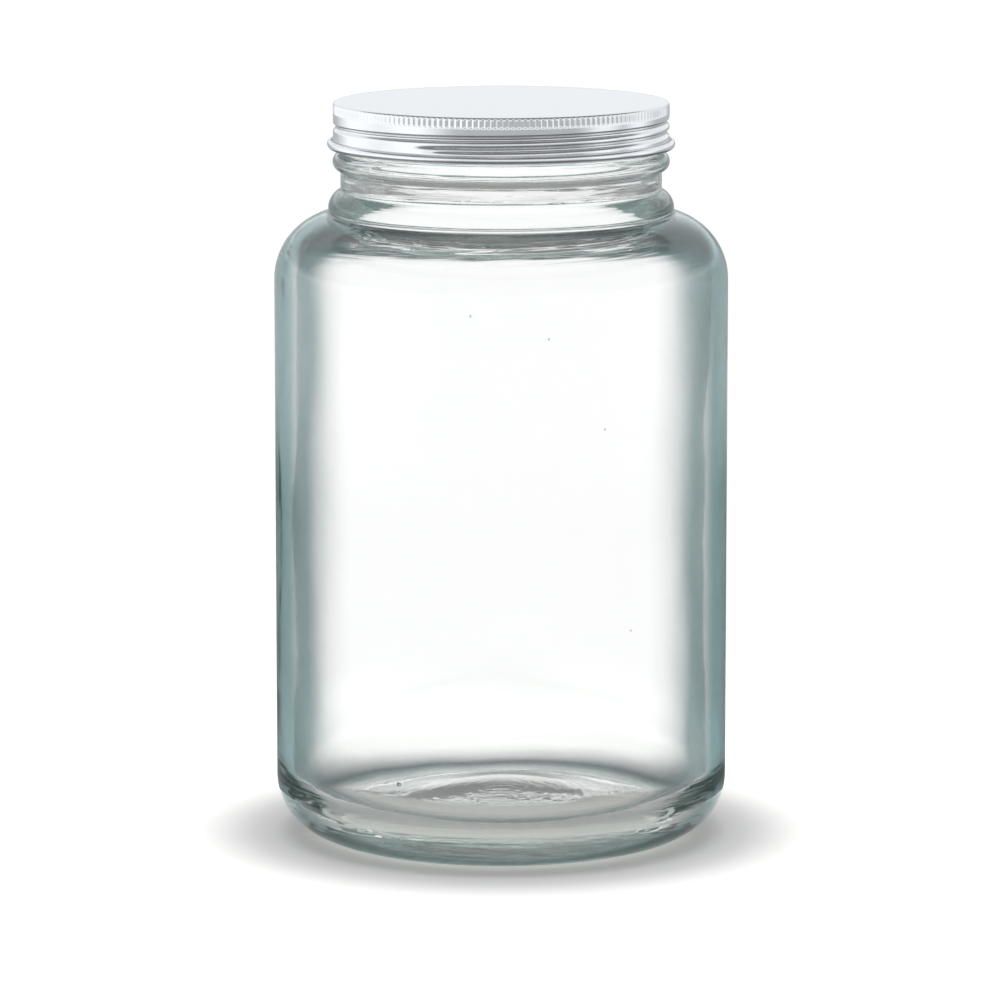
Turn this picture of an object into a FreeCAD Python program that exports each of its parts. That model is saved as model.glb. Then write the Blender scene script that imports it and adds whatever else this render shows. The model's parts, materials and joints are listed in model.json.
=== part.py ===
"""Glass storage jar with a rolled metal screw lid.

Millimetres, +Z up, with the origin at the middle of the base plane. Every piece is round about Z, so each
one is a section in its body's XZ plane, held by constraints bound to the sheet and turned about Z.
"""
import FreeCAD, Part
import math
import os
import re

import Sketcher

Vector = FreeCAD.Vector

SIZES = {
    # the glass body
    "body_diameter": (154.6, "outside of the straight wall"),
    "shoulder_height": (214.5, "from the base plane to where the shoulder meets the transfer ring"),
    "shoulder_slope": (8.7, "fall of the shoulder from level, in degrees, at the transfer ring"),
    "heel_rounding": (20.6, "outside corner between the wall and the base"),
    "bearing_width": (4.0, "flat ring that the jar stands on"),
    "push_up": (3.5, "rise of the hollow underside at its middle"),
    "wall": (7.0, "side wall"),
    "shoulder_wall": (6.4, "glass below the top of the shoulder"),
    "floor": (12.0, "base plane to the level edge of the inside floor"),
    "mound": (4.0, "rise of the inside floor at its middle"),
    "mound_margin": (3.0, "level ring between the inside heel and the mound"),
    "inner_heel": (14.0, "inside corner between the wall and the floor"),
    # the glass neck and finish
    "neck_diameter": (109.3, "outside of the neck"),
    "neck_wall": (4.75, "side of the neck"),
    "throat_rounding": (4.3, "inside corner between the neck and the shoulder"),
    "ring_height": (7.9, "transfer ring, from the shoulder to its top"),
    "ring_depth": (4.2, "how far the transfer ring stands out of the neck"),
    "ring_crest": (1.6, "height of its widest line above the shoulder"),
    "ring_tuck": (0.8, "how far it is undercut at the shoulder"),
    "neck_gap": (6.6, "bare neck between the transfer ring and the bead"),
    "bead_width": (6.2, "bead below the lid, along the neck"),
    "bead_depth": (2.65, "how far the bead stands out of the neck"),
    "bead_gap": (1.45, "between the bead and the lid's hem"),
    "cove": (0.8, "hollow corners where the ring and the bead meet the neck"),
    "ring_cove": (0.5, "hollow corner under the transfer ring"),
    "rim_outside": (1.5, "outside rounding of the sealing rim"),
    "rim_inside": (1.8, "inside rounding of the sealing rim"),
    # the screw lid
    "lid_height": (15.55, "from the top of the panel to the bottom of the hem"),
    "sheet": (0.4, "metal of the lid"),
    "lid_clearance": (2.08, "between the neck and the inside of the skirt"),
    "lid_corner": (1.0, "outside rounding between the panel and the skirt"),
    "thread_pitch": (3.5, "between the middles of the two rolled grooves"),
    "thread_depth": (0.95, "how far the grooves are pressed in"),
    "thread_crest": (0.3, "straight sheet left inside between the grooves"),
    "curl": (1.2, "outside radius of the rolled hem"),
    "curl_land": (0.25, "straight skirt between the hem's top and the lower groove"),
    # the liner between the lid and the rim
    "liner": (0.95, "thickness of the sealing disc"),
    "liner_gap": (0.2, "around the disc, inside the lid's corner"),
}

# Radii and heights that follow from the sheet, as expressions of its sizes
BODY = "(body_diameter / 2)"
NECK = "(neck_diameter / 2)"
INSIDE = f"({BODY} - wall)"
BORE = f"({NECK} - neck_wall)"
RING = f"({NECK} + ring_depth)"
RING_FOOT = f"({RING} - ring_tuck)"
BEARING = f"({BODY} - heel_rounding - bearing_width)"
MOUND = f"({INSIDE} - inner_heel - mound_margin)"
SHOULDER = f"(({BODY} - {RING_FOOT}) / (1 - sin(shoulder_slope)))"
THROAT = f"({BORE} + throat_rounding)"
SKIRT_IN = f"({NECK} + lid_clearance)"
SKIRT = f"({SKIRT_IN} + sheet)"

WALL_TOP = f"(shoulder_height - {SHOULDER} * cos(shoulder_slope))"
CEILING = "(shoulder_height - shoulder_wall)"
RING_TOP = "(shoulder_height + ring_height)"
BEAD_TOP = f"({RING_TOP} + neck_gap + bead_width)"
LID_BOTTOM = f"({BEAD_TOP} + bead_gap)"
LID_TOP = f"({LID_BOTTOM} + lid_height)"
PANEL = f"({LID_TOP} - sheet)"
RIM = f"({PANEL} - liner)"


def dome(reach, rise):
    """Radius of the arc that leaves level, or upright, and bends by rise over reach."""
    return f"((({reach})^2 + ({rise})^2) / (2 * ({rise})))"


def bound(text):
    """The expression with every named size read from the sheet."""
    return re.sub(r"\b([a-z_]+)\b(?!\()", r"Sizes.\1", text)


class Section:
    """A closed outline in a body's XZ plane, drawn from corner to corner.

    Corners stand at a radius and a height, both expressions of the sheet. Each line and arc is held to
    them by constraints bound to the same expressions, so the section follows the sheet.
    """

    def __init__(self, body, name, radius, height):
        self.body = body
        self.sketch = body.newObject("Sketcher::SketchObject", name)
        plane = [item for item in body.Origin.OriginFeatures if item.Role == "XZ_Plane"]
        self.sketch.AttachmentSupport = [(plane[0], "")]
        self.sketch.MapMode = "FlatFace"
        self.first = self.at = self.point(radius, height)
        self.corner = (radius, height)
        self.open_end = self.first_end = None

    def value(self, text):
        return float(self.sketch.Document.Sizes.evalExpression(text))

    def point(self, radius, height):
        return Vector(self.value(radius), self.value(height), 0)

    def bind(self, constraint, text):
        index = self.sketch.addConstraint(constraint)
        self.sketch.setExpression(f"Constraints[{index}]", bound(text))

    def place(self, end, radius, height):
        """Hold one end of an edge at its corner."""
        for kind, axis, text in (("DistanceX", -2, radius), ("DistanceY", -1, height)):
            if text == "0":
                self.sketch.addConstraint(Sketcher.Constraint("PointOnObject", *end, axis))
            else:
                self.bind(Sketcher.Constraint(kind, -1, 1, *end, self.value(text)), text)

    def join(self, start, end, radius, height):
        """Take up an edge whose ends are start and end, and which leads to the given corner."""
        if self.open_end:
            self.sketch.addConstraint(Sketcher.Constraint("Coincident", *self.open_end, *start))
        else:
            self.first_end = start
        self.place(start, *self.corner)
        self.corner = (radius, height)
        self.at = self.point(radius, height)
        self.open_end = end

    def line(self, radius, height):
        edge = self.sketch.addGeometry(Part.LineSegment(self.at, self.point(radius, height)))
        self.join((edge, 1), (edge, 2), radius, height)

    def arc(self, radius, height, bend, left=True):
        """An arc of radius bend, no longer than a half turn, that bends left or right on its way."""
        start, stop, size = self.at, self.point(radius, height), self.value(bend)
        half = (stop - start) / 2
        offset = math.sqrt(max(size**2 - half.Length**2, 0))
        towards = Vector(-half.y, half.x, 0).normalize() * offset
        centre = start + half + towards if left else start + half - towards
        first, last = (start, stop) if left else (stop, start)
        angles = [math.atan2((p - centre).y, (p - centre).x) for p in (first, last)]
        circle = Part.Circle(centre, Vector(0, 0, 1), size)
        edge = self.sketch.addGeometry(Part.ArcOfCircle(circle, *angles))
        ends = ((edge, 1), (edge, 2)) if left else ((edge, 2), (edge, 1))
        self.join(*ends, radius, height)
        self.bind(Sketcher.Constraint("Radius", edge, size), bend)

    def close(self):
        """Run straight back to the first corner."""
        edge = self.sketch.addGeometry(Part.LineSegment(self.at, self.first))
        self.join((edge, 1), (edge, 2), *self.corner)
        self.sketch.addConstraint(Sketcher.Constraint("Coincident", edge, 2, *self.first_end))

    def turn(self, name):
        """Turn the section about Z into the body's solid."""
        solid = self.body.newObject("PartDesign::Revolution", name)
        solid.Profile = self.sketch
        solid.ReferenceAxis = (self.sketch, ["V_Axis"])
        solid.Angle = 360
        self.sketch.Document.recompute()

    def soften(self, name, radius, corners):
        """Fillet the round edges that the solid has at the given corners of the section."""
        solid = self.body.Tip
        edges = []
        for corner in corners:
            place = self.point(*corner)
            misses = [
                math.hypot(edge.Length / math.tau - place.x, edge.CenterOfMass.z - place.y)
                for edge in solid.Shape.Edges
            ]
            edges.append(f"Edge{misses.index(min(misses)) + 1}")
        fillet = self.body.newObject("PartDesign::Fillet", name)
        fillet.Base = (solid, edges)
        fillet.setExpression("Radius", bound(radius))
        self.sketch.Document.recompute()


def fill_sheet(document):
    sheet = document.addObject("Spreadsheet::Sheet", "Sizes")
    for row, (name, (value, note)) in enumerate(SIZES.items(), start=1):
        sheet.set(f"A{row}", name)
        sheet.set(f"B{row}", str(value))
        sheet.set(f"C{row}", note)
        sheet.setAlias(f"B{row}", name)
    document.recompute()


def new_body(document, label):
    body = document.addObject("PartDesign::Body", label)
    body.Label = label
    return body


def glass_jar(document):
    """One piece of glass: up the outside from the hollow base to the sealing rim, and down the inside."""
    glass = Section(new_body(document, "glass_jar"), "glass_section", "0", "push_up")
    glass.arc(BEARING, "0", dome(BEARING, "push_up"), left=False)
    glass.line(f"{BODY} - heel_rounding", "0")
    glass.arc(BODY, "heel_rounding", "heel_rounding")
    glass.line(BODY, WALL_TOP)
    glass.arc(RING_FOOT, "shoulder_height", SHOULDER)

    # the transfer ring, widest low down, and the bead that stands guard below the lid
    glass.arc(RING, "shoulder_height + ring_crest", dome("ring_crest", "ring_tuck"))
    glass.arc(NECK, RING_TOP, dome("ring_height - ring_crest", "ring_depth"))
    glass.line(NECK, f"{BEAD_TOP} - bead_width")
    glass.arc(NECK, BEAD_TOP, dome("bead_width / 2", "bead_depth"))
    glass.line(NECK, f"{RIM} - rim_outside")
    glass.arc(f"{NECK} - rim_outside", RIM, "rim_outside")
    glass.line(f"{BORE} + rim_inside", RIM)
    glass.arc(BORE, f"{RIM} - rim_inside", "rim_inside")

    # down the bore, under the shoulder, and round the inside heel to the mounded floor
    glass.line(BORE, f"{CEILING} + throat_rounding")
    glass.arc(THROAT, CEILING, "throat_rounding")
    glass.arc(INSIDE, f"{CEILING} - {INSIDE} + {THROAT}", f"{INSIDE} - {THROAT}", left=False)
    glass.line(INSIDE, "floor + inner_heel")
    glass.arc(f"{INSIDE} - inner_heel", "floor", "inner_heel", left=False)
    glass.line(MOUND, "floor")
    slope = dome(f"{MOUND} / 2", "mound / 2")
    glass.arc(f"{MOUND} / 2", "floor + mound / 2", slope, left=False)
    glass.arc("0", "floor + mound", slope)
    glass.close()
    glass.turn("blown_glass")
    on_neck = [(NECK, RING_TOP), (NECK, f"{BEAD_TOP} - bead_width"), (NECK, BEAD_TOP)]
    glass.soften("neck_coves", "cove", on_neck)
    glass.soften("shoulder_cove", "ring_cove", [(RING_FOOT, "shoulder_height")])


def screw_lid(document):
    """One sheet of metal: down its outside to the end of the rolled hem, and back up its inside."""
    crest = "((thread_pitch - thread_crest) / 2)"
    inner_bend = dome(crest, "thread_depth")
    outer_bend = f"({inner_bend} - sheet)"
    outer_crest = f"sqrt({outer_bend}^2 - ({outer_bend} - thread_depth)^2)"
    low_groove = f"({LID_BOTTOM} + 2 * curl + curl_land + {crest})"
    high_groove = f"({low_groove} + thread_pitch)"
    hem = f"({SKIRT_IN} + curl)"
    hem_level = f"({LID_BOTTOM} + curl)"
    hem_inside = "(curl - sheet)"

    lid = Section(new_body(document, "screw_lid"), "lid_section", "0", LID_TOP)
    lid.line(f"{SKIRT} - lid_corner", LID_TOP)
    lid.arc(SKIRT, f"{LID_TOP} - lid_corner", "lid_corner", left=False)
    for groove in (high_groove, low_groove):
        lid.line(SKIRT, f"{groove} + {outer_crest}")
        lid.arc(SKIRT, f"{groove} - {outer_crest}", outer_bend)
    lid.line(SKIRT, hem_level)

    # three quarters of a turn outwards, on the inside of the roll and then back on its outside
    lid.arc(hem, f"{hem_level} - {hem_inside}", hem_inside)
    lid.arc(f"{hem} + {hem_inside}", hem_level, hem_inside)
    lid.arc(hem, f"{hem_level} + {hem_inside}", hem_inside)
    lid.line(hem, f"{hem_level} + curl")
    lid.arc(f"{hem} + curl", hem_level, "curl", left=False)
    lid.arc(hem, LID_BOTTOM, "curl", left=False)
    lid.arc(SKIRT_IN, hem_level, "curl", left=False)

    for groove in (low_groove, high_groove):
        lid.line(SKIRT_IN, f"{groove} - {crest}")
        lid.arc(SKIRT_IN, f"{groove} + {crest}", inner_bend, left=False)
    lid.line(SKIRT_IN, f"{LID_TOP} - lid_corner")
    lid.arc(f"{SKIRT} - lid_corner", PANEL, "lid_corner - sheet")
    lid.line("0", PANEL)
    lid.close()
    lid.turn("rolled_sheet")


def lid_liner(document):
    """The sealing disc, pressed between the lid's panel and the rim."""
    disc = document.addObject("Part::Cylinder", "lid_liner")
    disc.Label = "lid_liner"
    disc.setExpression("Radius", bound(f"{SKIRT} - lid_corner - liner_gap"))
    disc.setExpression("Height", bound("liner"))
    disc.setExpression("Placement.Base.z", bound(RIM))


def check(document):
    """Stop if any object failed or any piece is not a sound solid."""
    for item in document.Objects:
        faults = {"Invalid", "Error"} & set(item.State)
        if faults:
            raise RuntimeError(f"{item.Label} is {', '.join(sorted(faults))}")
        if item.isDerivedFrom("Sketcher::SketchObject") and item.solve() != 0:
            raise RuntimeError(f"{item.Label} does not solve")
    for piece in pieces(document):
        if piece.Shape.isNull() or not piece.Shape.isValid() or len(piece.Shape.Solids) != 1:
            raise RuntimeError(f"{piece.Label} is not one valid solid")


def pieces(document):
    return [document.glass_jar, document.screw_lid, document.lid_liner]


def main():
    document = FreeCAD.newDocument("storage_jar")
    fill_sheet(document)
    glass_jar(document)
    screw_lid(document)
    lid_liner(document)
    document.recompute()
    check(document)
    os.makedirs("parts", exist_ok=True)
    for piece in pieces(document):
        piece.Shape.exportStep(f"parts/{piece.Label}.step")
        box = piece.Shape.optimalBoundingBox()
        size = f"diameter {box.XLength:.2f}, height {box.ZMin:.2f} to {box.ZMax:.2f}"
        print(f"{piece.Label}: {size} mm, volume {piece.Shape.Volume / 1000:.1f} cm3")


main()
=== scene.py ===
# %% [markdown]
# # A glass storage jar with a rolled metal lid
#
# The jar is empty, so everything one sees is glass, metal and light. This notebook dresses the
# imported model: it turns one piece of glass and one sheet of metal about the jar's axis, gives them
# their finishes, and stands them in plain white studio light.

# %% Load the frame
import json
import math

import bmesh
import bpy
from mathutils import Matrix, Vector, noise

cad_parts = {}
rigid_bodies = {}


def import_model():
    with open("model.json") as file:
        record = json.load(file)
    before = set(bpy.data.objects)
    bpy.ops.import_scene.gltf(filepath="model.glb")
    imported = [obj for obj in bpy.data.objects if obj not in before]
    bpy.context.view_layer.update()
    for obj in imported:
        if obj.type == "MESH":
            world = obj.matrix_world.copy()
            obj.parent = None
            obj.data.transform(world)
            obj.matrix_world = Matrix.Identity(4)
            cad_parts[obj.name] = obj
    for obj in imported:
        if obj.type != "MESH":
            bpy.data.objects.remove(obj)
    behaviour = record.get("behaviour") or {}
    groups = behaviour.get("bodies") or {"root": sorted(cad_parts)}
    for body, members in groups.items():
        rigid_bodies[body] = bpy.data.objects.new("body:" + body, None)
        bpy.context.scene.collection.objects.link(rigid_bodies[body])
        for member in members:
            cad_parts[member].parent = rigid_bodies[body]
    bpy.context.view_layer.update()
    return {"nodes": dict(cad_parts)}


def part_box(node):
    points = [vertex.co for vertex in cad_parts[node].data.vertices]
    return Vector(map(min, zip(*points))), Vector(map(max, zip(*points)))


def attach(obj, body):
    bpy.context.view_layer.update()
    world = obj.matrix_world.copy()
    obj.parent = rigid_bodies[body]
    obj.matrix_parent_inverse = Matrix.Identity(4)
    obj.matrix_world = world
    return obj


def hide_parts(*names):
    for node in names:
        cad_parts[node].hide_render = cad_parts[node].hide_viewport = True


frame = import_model()
print("pieces in the frame:", ", ".join(sorted(frame["nodes"])))

# %% [markdown]
# ## Sizes
#
# Millimetres are easier to read for a jar, so sizes are in millimetres and one factor turns them
# into metres. The main ones come from the frame. The rest are the maker's own: how thick the wall
# is, how far the beads stand out, how deep the thread is rolled.

# %% Sizes from the frame, in millimetres
MM = 0.001

glass_low, glass_high = (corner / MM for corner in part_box("glass_jar"))
lid_low, lid_high = (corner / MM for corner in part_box("screw_lid"))
body_radius = glass_high.x
rim_height = glass_high.z
lid_bottom, lid_top = lid_low.z, lid_high.z
hem_radius = lid_high.x
print(f"body {body_radius:.1f}, rim at {rim_height:.2f}, lid {lid_bottom:.2f} to {lid_top:.2f}")

# %% [markdown]
# ## A pen that draws a section
#
# Both pieces are round, so each is a section turned about Z. The pen starts a bmesh with one vertex
# and drags it along: an extrude makes a straight stroke, and a spin of that one vertex makes an arc.
# Every vertex also remembers which stretch of the section it belongs to, because the thread, the hem
# and the uneven inside are each pressed into one stretch only.

# %% The pen
class Pen:
    """Draws a section in the XZ plane, in millimetres, and turns it about Z."""

    def __init__(self, radius, height):
        self.mesh = bmesh.new()
        self.part = self.mesh.verts.layers.int.new("part")
        self.tip = self.mesh.verts.new((radius * MM, 0, height * MM))
        self.now = 0

    def line(self, radius, height, steps=1):
        start, goal = self.tip.co.copy(), Vector((radius * MM, 0, height * MM))
        for step in range(1, steps + 1):
            self.tip = bmesh.ops.extrude_vert_indiv(self.mesh, verts=[self.tip])["verts"][0]
            self.tip.co = start.lerp(goal, step / steps)
            self.tip[self.part] = self.now

    def arc(self, radius, height, degrees, steps):
        """Swing the tip round a centre; positive is anticlockwise with the axis on the left."""
        before = set(self.mesh.verts)
        made = bmesh.ops.spin(
            self.mesh, geom=[self.tip], cent=(radius * MM, 0, height * MM), axis=(0, -1, 0),
            angle=math.radians(degrees), steps=steps,
        )
        for vert in set(self.mesh.verts) - before:
            vert[self.part] = self.now
        self.tip = made["geom_last"][0]

    def turn(self, steps, sectors=12):
        """Turn one sector of the section, and copy that sector round the axis."""
        sector = math.tau / sectors
        about = {"cent": (0, 0, 0), "axis": (0, 0, 1)}
        bmesh.ops.spin(
            self.mesh, geom=self.mesh.verts[:] + self.mesh.edges[:],
            angle=sector, steps=steps // sectors, **about,
        )
        bmesh.ops.spin(
            self.mesh, geom=self.mesh.verts[:] + self.mesh.edges[:] + self.mesh.faces[:],
            angle=math.tau - sector, steps=sectors - 1, use_duplicate=True, **about,
        )
        bmesh.ops.remove_doubles(self.mesh, verts=self.mesh.verts, dist=0.001 * MM)
        bmesh.ops.recalc_face_normals(self.mesh, faces=self.mesh.faces)
        return self.mesh


def bend_radius(reach, rise):
    """Radius of the arc that leaves along a line and is rise away from it after reach."""
    return (reach**2 + rise**2) / (2 * rise)


def smooth_step(value, low, high):
    """0 below low, 1 above high, and a soft S between them."""
    share = min(1, max(0, (value - low) / (high - low)))
    return share * share * (3 - 2 * share)


def finished(mesh, name, slot, *nodes):
    """Make the object for a bmesh, smooth it, and let it stand for its CAD nodes."""
    data = bpy.data.meshes.new(name)
    mesh.to_mesh(data)
    mesh.free()
    data.shade_smooth()
    piece = bpy.data.objects.new(name, data)
    bpy.context.collection.objects.link(piece)
    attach(piece, "root")
    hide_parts(*nodes)
    print(f"{name}: {len(data.polygons)} faces")
    return piece


# %% [markdown]
# ## The glass
#
# A jar like this is blown into an iron mould. The mould gives the outside: a hollow underside, a
# round heel, a straight wall, a soft shoulder, and on the neck a stout ring and a half-round bead.
# The inside only ever touches air, so it is uneven. That is what makes real glass look alive: the
# thick places bend the light.

# %% The glass section
wall, floor_level, push_up = 7.0, 12.0, 3.5
heel, bearing_width, inner_heel = 20.6, 4.0, 14.0
shoulder_height, shoulder_slope, shoulder_wall = 214.5, math.radians(8.7), 6.4
neck_radius, neck_wall, throat = 54.65, 4.75, 4.3
ring_height, ring_depth, ring_crest, ring_tuck = 7.9, 4.2, 1.6, 0.8
neck_gap, bead_width, bead_depth, cove = 6.6, 6.2, 2.65, 1.2
rim_outside, rim_inside = 1.5, 1.8
mound, mound_margin = 4.0, 3.0

inside_radius = body_radius - wall
bore_radius = neck_radius - neck_wall
bearing = body_radius - heel - bearing_width
ring_radius = neck_radius + ring_depth
ring_foot = ring_radius - ring_tuck
shoulder = (body_radius - ring_foot) / (1 - math.sin(shoulder_slope))
wall_top = shoulder_height - shoulder * math.cos(shoulder_slope)
ceiling = shoulder_height - shoulder_wall
inner_shoulder = inside_radius - bore_radius - throat
bead_top = shoulder_height + ring_height + neck_gap + bead_width

OUTSIDE, FINISH, INSIDE, HEM = range(4)


def degrees_of(reach, radius):
    return math.degrees(math.asin(reach / radius))


def ridge(pen, radius, height, size, steps, whole=False):
    """A round ridge of the neck, whole or from its crest up, with a cove at its foot."""
    reach = neck_radius + cove - radius
    lean = math.degrees(math.acos(reach / (size + cove)))
    rise = math.sqrt((size + cove) ** 2 - reach**2)
    if whole:
        pen.line(neck_radius, height - rise, 6)
        pen.arc(neck_radius + cove, height - rise, -lean, 4)
        pen.arc(radius, height, lean, steps)
    pen.arc(radius, height, lean, steps)
    pen.arc(neck_radius + cove, height + rise, -lean, 4)


def glass_section():
    pen = Pen(0, push_up)
    dome = bend_radius(bearing, push_up)
    pen.arc(0, push_up - dome, -degrees_of(bearing, dome), 10)
    pen.line(body_radius - heel, 0, 2)
    pen.arc(body_radius - heel, heel, 90, 18)
    pen.line(body_radius, wall_top, 20)
    pen.arc(body_radius - shoulder, wall_top, 90 - math.degrees(shoulder_slope), 20)

    # the transfer ring: a short tuck under its widest line, and a long round top
    crest = shoulder_height + ring_crest
    tuck = bend_radius(ring_crest, ring_tuck)
    pen.arc(ring_radius - tuck, crest, degrees_of(ring_crest, tuck), 5)
    top = bend_radius(ring_height - ring_crest, ring_depth)
    ridge(pen, ring_radius - top, crest, top, 12)

    # the bead, and then the finish with the thread that the lid hides
    bead = bend_radius(bead_width / 2, bead_depth)
    ridge(pen, neck_radius + bead_depth - bead, bead_top - bead_width / 2, bead, 8, whole=True)
    pen.now = FINISH
    pen.line(neck_radius, rim_height - rim_outside, 40)
    pen.now = OUTSIDE
    pen.arc(neck_radius - rim_outside, rim_height - rim_outside, 90, 5)
    pen.line(bore_radius + rim_inside, rim_height)
    pen.arc(bore_radius + rim_inside, rim_height - rim_inside, 90, 5)

    # down the bore, under the shoulder, and round the inner heel to the mounded floor
    pen.now = INSIDE
    pen.line(bore_radius, ceiling + throat, 24)
    pen.arc(bore_radius + throat, ceiling + throat, 90, 8)
    pen.arc(bore_radius + throat, ceiling - inner_shoulder, -90, 20)
    pen.line(inside_radius, floor_level + inner_heel, 64)
    pen.arc(inside_radius - inner_heel, floor_level + inner_heel, -90, 16)
    mound_radius = inside_radius - inner_heel - mound_margin
    pen.line(mound_radius, floor_level)
    slope = bend_radius(mound_radius / 2, mound / 2)
    lean = degrees_of(mound_radius / 2, slope)
    pen.arc(mound_radius, floor_level + slope, -lean, 14)
    pen.arc(0, floor_level + mound - slope, lean, 14)
    return pen


# %% [markdown]
# `noise.noise` is smooth and always gives the same value at the same place, which makes it a good
# source of unevenness: sampled round a circle it joins up with itself. A short list adds the few
# thick places that a glassmaker would point at. The bore is also a little wider behind the ring,
# which stands out so far that the glass there would be thick.

# %% The uneven inside
THICK = [  # degrees round, height, degrees of reach, reach in height, millimetres
    (180, 178, 40, 34, 0.3),
    (0, 60, 26, 42, 0.4),
]
SLOW, QUICK = 0.5, 0.15  # millimetres of the wide swells and of the narrow ones
CALM_SHARE = 0.12  # how much of it is left in the neck
RING_THIN, RING_THIN_LEVEL, RING_THIN_REACH = 1.6, shoulder_height + 5, 11


def bump(distance, reach):
    """1 at the middle of a thick place and 0 from its reach outwards."""
    share = min(1, abs(distance) / reach)
    return (1 - share * share) ** 2


def unevenness(turn, radius, height):
    """How much glass stands proud of the even inside, in millimetres."""
    across, along = math.cos(turn), math.sin(turn)
    size = radius / inside_radius
    slow = noise.noise(Vector((across * 1.5 * size, along * 1.5 * size, height * 0.016 + 7)))
    quick = noise.noise(Vector((across * 3.6 * size + 5, along * 3.6 * size, height * 0.042)))
    proud = SLOW * slow + QUICK * quick
    if height > floor_level + mound:
        for middle, level, reach, rise, amount in THICK:
            swing = (math.degrees(turn) - middle + 180) % 360 - 180
            proud += amount * bump(swing, reach) * bump(height - level, rise)
    return proud


def make_uneven(mesh, part):
    """Press the unevenness into the inside of the glass, along its normals."""
    mesh.normal_update()
    moves = []
    for vert in mesh.verts:
        if vert[part] != INSIDE:
            continue
        spot = vert.co / MM
        radius = math.hypot(spot.x, spot.y)
        turn = math.atan2(spot.y, spot.x)
        calm = 1 - smooth_step(spot.z, ceiling - 14, ceiling + 10)
        proud = unevenness(turn, radius, spot.z) * (CALM_SHARE + (1 - CALM_SHARE) * calm)
        proud -= RING_THIN * bump(spot.z - RING_THIN_LEVEL, RING_THIN_REACH)
        moves.append((vert, vert.normal * proud * MM))
    for vert, move in moves:
        vert.co += move


# %% [markdown]
# The lid hides a screw thread: a low ridge that climbs the neck in a right-hand helix. One function
# gives the height of the helix at any angle. The lid's rolled groove later follows the same helix,
# half a pitch lower, so the two would really screw together.

# %% The thread
PITCH = 3.5
THREAD_FROM, THREAD_TO = 236, 780  # degrees round, anticlockwise, from the front left
GROOVE_IN_FRONT = 241.35  # height of the lid's groove at the front
THREAD_RISE, THREAD_HALF_WIDTH = 1.55, 1.3


def helix(turn, height, from_angle, to_angle, fade, half_width, lift=0.0):
    """1 on the line of a right-hand helix, falling to 0 at its half width and fading at its ends."""
    best = 0.0
    angle = turn % 360
    while angle < to_angle:
        if angle > from_angle:
            level = GROOVE_IN_FRONT + lift + PITCH * (angle - 270) / 360
            away = abs(height - level) / half_width
            if away < 1:
                ends = smooth_step(angle, from_angle, from_angle + fade)
                ends *= 1 - smooth_step(angle, to_angle - fade, to_angle)
                best = max(best, ends * (0.5 + 0.5 * math.cos(math.pi * away)))
        angle += 360
    return best


def move_out(vert, amount):
    """Move a vertex away from the axis by an amount in millimetres."""
    radius = math.hypot(vert.co.x, vert.co.y)
    vert.co.x *= 1 + amount * MM / radius
    vert.co.y *= 1 + amount * MM / radius


def raise_thread(mesh, part):
    for vert in mesh.verts:
        if vert[part] == FINISH:
            turn = math.degrees(math.atan2(vert.co.y, vert.co.x))
            ridge = helix(turn, vert.co.z / MM, THREAD_FROM + 8, THREAD_TO - 60, 16,
                          THREAD_HALF_WIDTH, PITCH / 2)
            move_out(vert, THREAD_RISE * ridge)


# %% Blow the jar
BUBBLES = [  # degrees round, depth in the wall, height, radius
    (243, 3.2, 30, 0.75), (282, 2.6, 181, 0.34), (297, 3.0, 150, 0.3), (100, 2.8, 168, 0.36),
    (264, 3.4, 26, 0.4), (212, 2.8, 96, 0.3), (334, 3.1, 70, 0.3), (48, 3.0, 60, 0.35),
]


def add_bubble(mesh, turn, depth, height, size):
    """A pocket of air in the wall: a small ball whose faces look inwards, out of the glass."""
    radius = body_radius - depth
    turn = math.radians(turn)
    place = Vector((radius * math.cos(turn), radius * math.sin(turn), height)) * MM
    made = bmesh.ops.create_icosphere(mesh, subdivisions=2, radius=size * MM,
                                      matrix=Matrix.Translation(place))
    faces = {face for vert in made["verts"] for face in vert.link_faces}
    bmesh.ops.reverse_faces(mesh, faces=list(faces))


pen = glass_section()
glass = pen.turn(264)
make_uneven(glass, pen.part)
raise_thread(glass, pen.part)
for bubble in BUBBLES:
    add_bubble(glass, *bubble)
jar = finished(glass, "jar_glass", "clear_glass", "glass_jar")

# %% [markdown]
# ## The lid
#
# The lid is one sheet of aluminium, 0.4 mm thick. Its section is drawn down the outside, through the
# hem that is rolled outwards at the bottom, and back up the inside. The knurls repeat round the lid
# and the groove climbs it, so both are pressed into the turned sheet afterwards.

# %% Roll the lid
sheet, lid_corner, curl = 0.4, 1.0, 1.2
skirt_inside = hem_radius - 2 * curl
skirt = skirt_inside + sheet
hem_level = lid_bottom + curl
KNURLS, KNURL_LOW, KNURL_HIGH, KNURL_DEPTH = 180, 248.5, 251.85, 0.34
GROOVE_DEPTH, GROOVE_HALF_WIDTH = 0.95, 1.5
HEM_STRETCH = 1.2


def lid_section():
    pen = Pen(0, lid_top)
    pen.line(skirt - lid_corner - 1.5, lid_top, 2)
    pen.line(skirt - lid_corner, lid_top)
    pen.arc(skirt - lid_corner, lid_top - lid_corner, -90, 5)
    pen.line(skirt, hem_level + curl * HEM_STRETCH, 40)
    pen.now = HEM
    pen.line(skirt, hem_level)
    pen.arc(skirt_inside + curl, hem_level, 270, 6)
    pen.line(skirt_inside + curl, hem_level + curl)
    pen.arc(skirt_inside + curl, hem_level, -270, 12)
    pen.now = INSIDE
    pen.line(skirt_inside, lid_top - lid_corner, 16)
    pen.arc(skirt - lid_corner, lid_top - lid_corner, 90, 2)
    pen.line(0, lid_top - sheet)
    return pen


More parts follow.
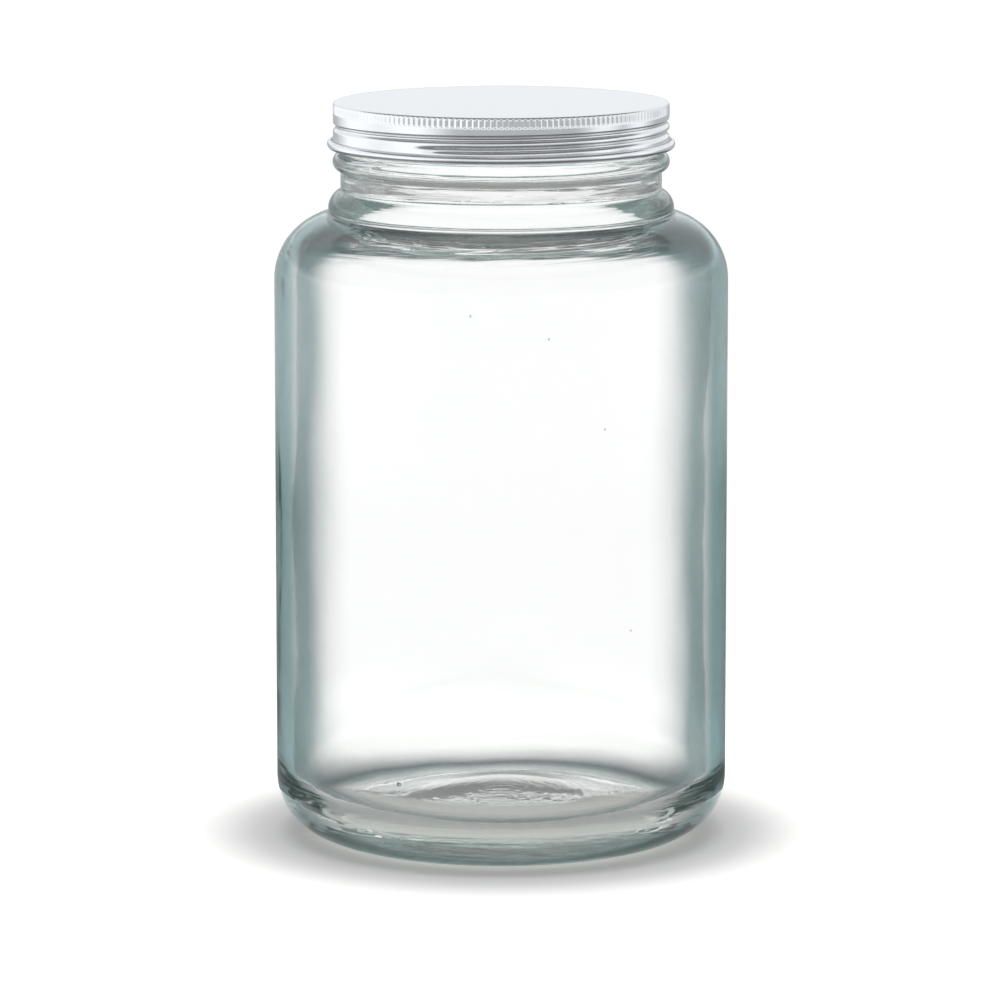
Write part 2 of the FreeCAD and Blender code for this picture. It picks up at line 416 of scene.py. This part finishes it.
def press_lid(mesh, part):
    """Stretch the hem, roll the groove through the sheet, and knurl the outside."""
    for vert in mesh.verts:
        if vert[part] == HEM:
            low = lid_bottom * MM
            vert.co.z = low + (vert.co.z - low) * HEM_STRETCH
            continue
        radius = math.hypot(vert.co.x, vert.co.y) / MM
        if radius < skirt_inside - 0.1:
            continue
        turn = math.degrees(math.atan2(vert.co.y, vert.co.x))
        height = vert.co.z / MM
        amount = -GROOVE_DEPTH * helix(turn, height, THREAD_FROM, THREAD_TO, 22, GROOVE_HALF_WIDTH)
        if vert[part] != INSIDE:
            band = smooth_step(height, KNURL_LOW, KNURL_LOW + 0.5)
            band *= 1 - smooth_step(height, KNURL_HIGH - 0.4, KNURL_HIGH)
            amount -= KNURL_DEPTH * band * (0.5 + 0.5 * math.cos(math.radians(turn * KNURLS)))
        if amount:
            move_out(vert, amount)


pen = lid_section()
tin = pen.turn(6 * KNURLS)
press_lid(tin, pen.part)
lid = finished(tin, "lid_metal", "lid_metal", "screw_lid")

# %% [markdown]
# ## Wires that add up
#
# Shader maths is easier to read as sums than as a web of nodes. A `Wire` holds one output socket,
# and its operators add Math nodes: `wire * 0.5 + 0.2` builds two and gives the new socket back.

# %% The wire
class Wire:
    def __init__(self, tree, socket):
        self.tree, self.socket = tree, socket

    def use(self, kind, inputs=(), out=0, **settings):
        """Add any node, set its properties, and feed its inputs with wires or plain values."""
        node = self.tree.nodes.new(kind)
        for name, value in settings.items():
            setattr(node, name, value)
        for key, value in dict(inputs).items():
            if isinstance(value, Wire):
                self.tree.links.new(value.socket, node.inputs[key])
            else:
                node.inputs[key].default_value = value
        return Wire(self.tree, node.outputs[out])

    def math(self, operation, other=0.0, first=None):
        inputs = {0: self if first is None else first, 1: self if first is not None else other}
        return self.use("ShaderNodeMath", inputs, operation=operation)

    def __add__(self, other):
        return self.math("ADD", other)

    def __mul__(self, other):
        return self.math("MULTIPLY", other)

    def __sub__(self, other):
        return self.math("SUBTRACT", other)

    def __rsub__(self, other):
        return self.math("SUBTRACT", first=other)

    def __pow__(self, other):
        return self.math("POWER", other)

    __radd__, __rmul__ = __add__, __mul__

    def step(self, low, high, start=0.0, end=1.0):
        """Map low..high onto start..end with soft ends."""
        inputs = {"Value": self, "From Min": low, "From Max": high, "To Min": start, "To Max": end}
        return self.use("ShaderNodeMapRange", inputs, interpolation_type="SMOOTHSTEP")

    def mix(self, dark, light):
        """A colour between two, by this wire."""
        inputs = {"Factor": self, 6: colour(dark), 7: colour(light)}
        return self.use("ShaderNodeMix", inputs, out=2, data_type="RGBA")


def colour(value):
    return value if isinstance(value, Wire) else (*value, 1.0)


def new_material(name):
    """An empty material: its tree and a wire with the object's own coordinates, in millimetres."""
    material = bpy.data.materials.new(name)
    material.use_nodes = True
    tree = material.node_tree
    tree.nodes.clear()
    metres = Wire(tree, tree.nodes.new("ShaderNodeTexCoord").outputs["Object"])
    to_millimetres = {0: metres, 1: (1 / MM, 1 / MM, 1 / MM)}
    place = metres.use("ShaderNodeVectorMath", to_millimetres, operation="MULTIPLY")
    return material, tree, place


def coordinates(place):
    """Three wires, with the X, the Y and the Z of a place."""
    apart = place.use("ShaderNodeSeparateXYZ", {"Vector": place})
    return [Wire(place.tree, apart.socket.node.outputs[axis]) for axis in "XYZ"]


def window(wire, opens, closes, soft):
    """1 between two values and 0 outside them, with soft ends."""
    return wire.step(opens - soft, opens + soft) - wire.step(closes - soft, closes + soft)


def grain(place, size, detail=2.0, stretch=(1, 1, 1)):
    """Noise between 0 and 1 whose blotches are about this many millimetres across."""
    scaled = place.use("ShaderNodeVectorMath", {0: place, 1: stretch}, operation="MULTIPLY")
    inputs = {"Vector": scaled, "Scale": 1 / size, "Detail": detail}
    return place.use("ShaderNodeTexNoise", inputs)


def principled(tree, place, surface, bump=None, volume=None):
    """One Principled shader, with its bump and its volume, on the material's output."""
    inputs = dict(surface)
    if bump:
        height, depth = bump
        inputs["Normal"] = place.use("ShaderNodeBump", {"Height": height, "Distance": depth * MM})
    shader = place.use("ShaderNodeBsdfPrincipled", inputs)
    output = tree.nodes.new("ShaderNodeOutputMaterial")
    tree.links.new(shader.socket, output.inputs["Surface"])
    if volume:
        tree.links.new(volume.socket, output.inputs["Volume"])


# %% [markdown]
# ## Materials
#
# The glass is Principled with full transmission. Its faint green lives in the volume, because glass
# is only green where the light has a long way through it. At the rounded sides that way is longest
# and the loss at the surface is greatest. On top of that, Layer Weight paints a dark teal shade into
# the colour where the wall turns away: painted shade that stands in for the dark edges of thick
# glass.
# The surface carries the gentle ripple that a mould leaves, and finer wrinkles, drawn out
# round the axis, where the glass bends at the heel, the shoulder and the neck.

# %% Clear glass
material, tree, place = new_material("clear_glass")
ripple = grain(place, 34, 1.0, (1, 1, 0.5))
across, depth, height = coordinates(place)
from_axis = (across * across + depth * depth) ** 0.5
drawn_out = place.use("ShaderNodeCombineXYZ", {
    "X": across * 0.06 + from_axis, "Y": depth * 0.06, "Z": height,
})
wrinkles = grain(drawn_out, 2.6, 2.0)
bends = 1 - height.step(16, 34) + height.step(192, 208) + height.step(212, 220)
relief = ripple + wrinkles * bends * 0.16
# painted shade: the colour turns dark teal where the wall turns away, fully on the body and less at
# the neck
turned_away = place.use("ShaderNodeLayerWeight", {"Blend": 0.5}, out="Facing").step(0.3, 0.68)
painted_edge_shade = turned_away * from_axis.step(48, 62)
volume = place.use("ShaderNodeVolumeAbsorption", {"Color": (0.42, 0.66, 0.6, 1), "Density": 2.2})
principled(tree, place, {
    "Base Color": painted_edge_shade.mix((1, 1, 1), (0.05, 0.115, 0.12)),
    "Roughness": 0.0, "IOR": 1.5, "Transmission Weight": 1.0,
}, bump=(relief, 0.5), volume=volume)
jar.data.materials.append(material)

# %% [markdown]
# The lid is satin aluminium, spun and lacquered. Turning marks run round the panel and round the
# rolled skirt. They show in the roughness and in a very shallow bump.

# %% Satin aluminium
material, tree, place = new_material("satin_aluminium")
flat = place.use("ShaderNodeVectorMath", {0: place, 1: (1, 1, 0)}, operation="MULTIPLY")
from_axis = place.use("ShaderNodeVectorMath", {0: flat}, out="Value", operation="LENGTH")
height = coordinates(place)[2]
ring = place.use("ShaderNodeCombineXYZ", {"X": from_axis, "Y": height})
turned = grain(ring, 0.35, 3.0)
clouds = grain(place, 9, 3.0)
specks = grain(place, 0.6, 2.0)
principled(tree, place, {
    "Base Color": clouds.step(0.3, 0.7).mix((0.88, 0.89, 0.9), (0.92, 0.925, 0.93)),
    "Metallic": 1.0,
    "Roughness": 0.11 + 0.06 * turned + 0.06 * clouds,
}, bump=(turned * 0.6 + specks * 0.4, 0.004))
lid.data.materials.append(material)

# %% [markdown]
# The sealing disc under the panel keeps its CAD shape. It is a soft foamed plastic, so it gets fine
# pores and a slightly warm white.

# %% Foamed liner
material, tree, place = new_material("foamed_liner")
pores = place.use("ShaderNodeTexVoronoi", {"Vector": place, "Scale": 1 / 0.5}, out="Distance")
patches = grain(place, 12, 2.0)
principled(tree, place, {
    "Base Color": patches.mix((0.80, 0.79, 0.76), (0.88, 0.88, 0.86)),
    "Roughness": 0.55 + 0.2 * pores,
}, bump=(pores, 0.05))
for liner in [item for item in bpy.data.objects if item.name == "lid_liner"]:
    liner.data.materials.clear()
    liner.data.materials.append(material)

# %% [markdown]
# ## The studio
#
# The jar stands on a pale floor in plain white light that is the same from every side. Under the jar
# the floor glows with a painted pool of light. It stands in for the light that a real floor gathers
# through the glass, which a few samples can't trace. Beyond the soft shadow it glows again, with a
# painted fill that is stronger near the jar and lifts the shade there, so that it meets the white
# background. Halfway up, the walls of the studio are dim, and glass and metal see them: they draw
# the dark lines in the neck, the shoulder and the heel.

# %% Camera
camera = bpy.data.objects.new("camera", bpy.data.cameras.new("camera"))
bpy.context.collection.objects.link(camera)
LOOKS_DOWN = 9.44  # degrees
camera.location = (-0.0004, -2.0, 0.4477)
camera.rotation_euler = (math.radians(90 - LOOKS_DOWN), 0, 0)
camera.data.lens = 212.8
camera.data.sensor_width = 36
bpy.context.scene.camera = camera

# %% Floor and sky
def placed(mesh, name, material):
    """Make the object for a bmesh that is part of the studio and not of the jar."""
    data = bpy.data.meshes.new(name)
    mesh.to_mesh(data)
    mesh.free()
    item = bpy.data.objects.new(name, data)
    bpy.context.collection.objects.link(item)
    data.materials.append(material)
    return item


def ray_kinds(tree):
    """Wires that are 1 for camera rays, and 1 for rays that come off metal or through glass."""
    path = tree.nodes.new("ShaderNodeLightPath")
    kinds = ("Camera", "Glossy", "Transmission")
    camera_ray, off_metal, through = (Wire(tree, path.outputs[f"Is {kind} Ray"]) for kind in kinds)
    return camera_ray, off_metal.math("MAXIMUM", through)


material, tree, place = new_material("white_sweep")
out_from_axis = place.use("ShaderNodeVectorMath", {0: place}, out="Value", operation="LENGTH")
# painted light: a glowing pool under the jar, and beyond the shade a white glow that is stronger
# near the jar
painted_light_pool = 0.4 * (1 - out_from_axis.step(58, 78))
white_and_painted_fill = (0.16 + 0.21 * (1 - out_from_axis.step(140, 340))) * out_from_axis.step(80, 110)
camera_ray, in_object = ray_kinds(tree)
principled(tree, place, {
    "Base Color": (0.87, 0.87, 0.87, 1), "Roughness": 1.0, "Specular IOR Level": 0.0,
    "Emission Color": (0.98, 1, 0.95, 1),
    "Emission Strength": painted_light_pool.math("MAXIMUM", white_and_painted_fill) * camera_ray.math("MAXIMUM", in_object),
})
mesh = bmesh.new()
bmesh.ops.create_circle(mesh, cap_ends=True, radius=30, segments=64)
placed(mesh, "white_sweep", material)

world = bpy.data.worlds.new("white_studio")
world.use_nodes = True
tree = world.node_tree
background = tree.nodes["Background"]
up = coordinates(Wire(tree, tree.nodes.new("ShaderNodeTexCoord").outputs["Generated"]))[2]
camera_ray, in_object = ray_kinds(tree)
overhead = up.math("MAXIMUM", 0.0) ** 4 * 3.0
walls = 1 - 0.8 * window(up, 0.14, 0.8, 0.08)
strength = camera_ray + (1 - camera_ray) * (in_object * walls + (1 - in_object) * overhead)
background.inputs["Color"].default_value = (1, 1, 1, 1)
tree.links.new(strength.socket, background.inputs["Strength"])
bpy.context.scene.world = world

# %% [markdown]
# Metal is a mirror, so it needs a room to look at. A bowl stands round the jar that only glossy rays
# can see: dim below, with soft boxes of light at the height of the lid and a bright band above them
# for the panel. Its brightness is a sum of windows, each opening and closing softly at an angle. The
# back of the room is lit like its front, and the whole room stands still.

# %% The room that the metal sees
material, tree, place = new_material("room")
across, depth, height = coordinates(place)
angle = across.math("ARCTAN2", depth.math("ABSOLUTE")) * math.degrees(1)
from_axis = (across * across + depth * depth) ** 0.5
LID_LEVEL = 245
rise = (height - LID_LEVEL).math("ARCTAN2", from_axis) * math.degrees(1)

level = window(rise, -15, 5, 4)
left_box = window(angle, -118, -45, 22)
front_fill = window(angle, -70, 75, 25)
right_box = window(angle, 62, 90, 12)
light = left_box * (0.14 + 0.66 * level)
light += front_fill * (0.04 + 0.26 * level)
light += right_box * (0.08 + 0.6 * level)
bright = 0.11 + 0.1 * level + light + 0.75 * window(rise, 3, 34, 2.5)
principled(tree, place, {
    "Base Color": (0, 0, 0, 1), "Specular IOR Level": 0.0,
    "Emission Color": (0.94, 0.97, 1, 1), "Emission Strength": bright,
})
mesh = bmesh.new()
rows = [(0.1, 0.001), (1.3, 0.001), (1.3, 2.6), (0.4, 3.6)]  # radius and height in metres
strip = [mesh.verts.new((0, radius, height)) for radius, height in rows]
edges = [mesh.edges.new(pair) for pair in zip(strip, strip[1:])]
bmesh.ops.spin(
    mesh, geom=strip + edges, cent=(0, 0, 0), axis=(0, 0, 1),
    angle=math.tau, steps=72, use_merge=True,
)
room = placed(mesh, "room", material)
for ray in ("camera", "diffuse", "transmission", "shadow", "volume_scatter"):
    setattr(room, f"visible_{ray}", False)

# %% [markdown]
# A ray through the neck crosses many walls of glass, so it needs many bounces to get out again.

# %% Render settings
scene = bpy.context.scene
scene.view_settings.view_transform = "Standard"
scene.cycles.max_bounces = 64
scene.cycles.transmission_bounces = 64
scene.cycles.glossy_bounces = 64
scene.cycles.transparent_max_bounces = 16
scene.cycles.diffuse_bounces = 4
